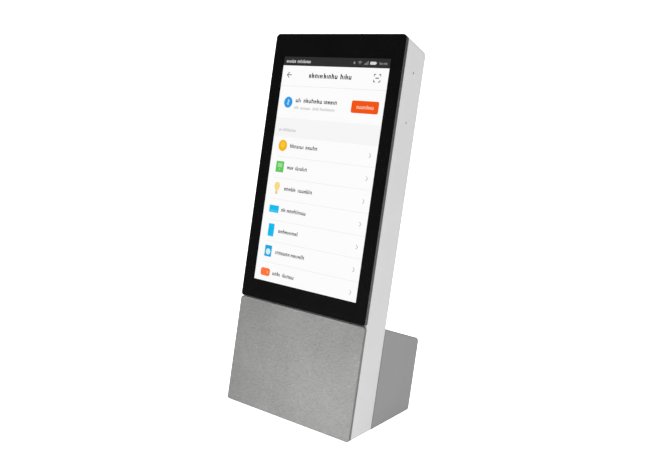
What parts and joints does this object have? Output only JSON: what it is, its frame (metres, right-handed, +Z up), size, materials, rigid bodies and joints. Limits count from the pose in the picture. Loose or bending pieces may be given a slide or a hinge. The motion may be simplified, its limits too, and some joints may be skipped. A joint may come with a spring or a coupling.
{
  "type": "smart home hub",
  "caption": "Leaning slab smart home hub: tall touch display over a cloth speaker grille, white housing and a grey rear block that stands it up",
  "frame": {"origin": "on the table, at the centre of the hub's footprint box", "axes": "+Z up, +X to the right seen from the front, front face towards -Y, leaning back 12.6 degrees"},
  "size_m": [0.11, 0.0774, 0.2525],
  "materials": {
    "white_shell": "satin moulded plastic",
    "grey_shell": "satin moulded plastic",
    "keys": "satin moulded plastic",
    "cover_glass": "gloss, printed black on its rear face round a clear window",
    "grille_cloth": "woven melange acoustic cloth",
    "black_plastic": "fine texture",
    "display_panel": "backlit panel",
    "rubber": "matte",
    "steel": "plain sheet",
    "screws": "zinc plated",
    "tin_shield": "tin plated",
    "circuit_board": "solder mask",
    "chip": "moulded epoxy",
    "connector": "moulded nylon",
    "battery": "foil pouch",
    "speaker_cone": "pressed paper",
    "foam": "open-cell foam",
    "lens": "coated",
    "flex_circuit": "polyimide film",
    "cable": "matte jacket"
  },
  "bodies": {
    "hub": {"ballast_weight": "steel", "base_plate": "black_plastic", "base_screw_1": "screws", "base_screw_2": "screws", "base_screw_3": "screws", "base_screw_4": "screws", "battery_connector": "connector", "battery_lead": "cable", "battery_pack": "battery", "board_screw_1": "screws", "board_screw_2": "screws", "board_screw_3": "screws", "board_screw_4": "screws", "camera_lens": "lens", "camera_module": "chip", "chamber_foam": "foam", "cover_glass": "cover_glass", "display_chassis": "steel", "display_connector": "connector", "display_flex": "flex_circuit", "display_panel": "display_panel", "front_foot_pad": "rubber", "grille_cloth": "grille_cloth", "grille_frame": "black_plastic", "key_board": "circuit_board", "main_board": "circuit_board", "memory_chip": "chip", "microphone_board": "circuit_board", "microphone_lower": "tin_shield", "microphone_upper": "tin_shield", "power_board": "circuit_board", "power_chip": "chip", "power_harness": "cable", "power_socket": "tin_shield", "power_switch": "chip", "processor_shield": "tin_shield", "radio_antenna": "flex_circuit", "radio_shield": "tin_shield", "rear_block_shell": "grey_shell", "rear_foot_pad": "rubber", "short_range_antenna": "flex_circuit", "slab_housing": "white_shell", "speaker_baffle": "black_plastic", "speaker_basket_left": "steel", "speaker_basket_right": "steel", "speaker_connector": "connector", "speaker_lead": "cable", "speaker_magnet_left": "steel", "speaker_magnet_right": "steel", "speaker_surround_left": "rubber", "speaker_surround_right": "rubber", "volume_down_switch": "chip", "volume_up_switch": "chip"},
    "power_key": {"power_button": "keys"},
    "volume_key": {"volume_rocker": "keys"},
    "left_diaphragm": {"speaker_cone_left": "speaker_cone"},
    "right_diaphragm": {"speaker_cone_right": "speaker_cone"}
  },
  "joints": [
    {"name": "power_press", "type": "slide", "parent": "hub", "child": "power_key", "axis": [0, -0.9759, 0.2181], "range_m": [0, 0.0005], "stiffness_N_per_m": 1500, "springref_m": -0.0002},
    {"name": "volume_rock", "type": "hinge", "parent": "hub", "child": "volume_key", "pos_m": [-0.038, 0.02671, 0.1991], "axis": [1, 0, 0], "range_deg": [-1.5, 1.5], "stiffness_Nm_per_rad": 0.5},
    {"name": "left_diaphragm_travel", "type": "slide", "parent": "hub", "child": "left_diaphragm", "axis": [0, -0.9759, 0.2181], "range_m": [-0.001, 0.001], "stiffness_N_per_m": 800},
    {"name": "right_diaphragm_travel", "type": "slide", "parent": "hub", "child": "right_diaphragm", "axis": [0, -0.9759, 0.2181], "range_m": [-0.001, 0.001], "stiffness_N_per_m": 800}
  ]
}
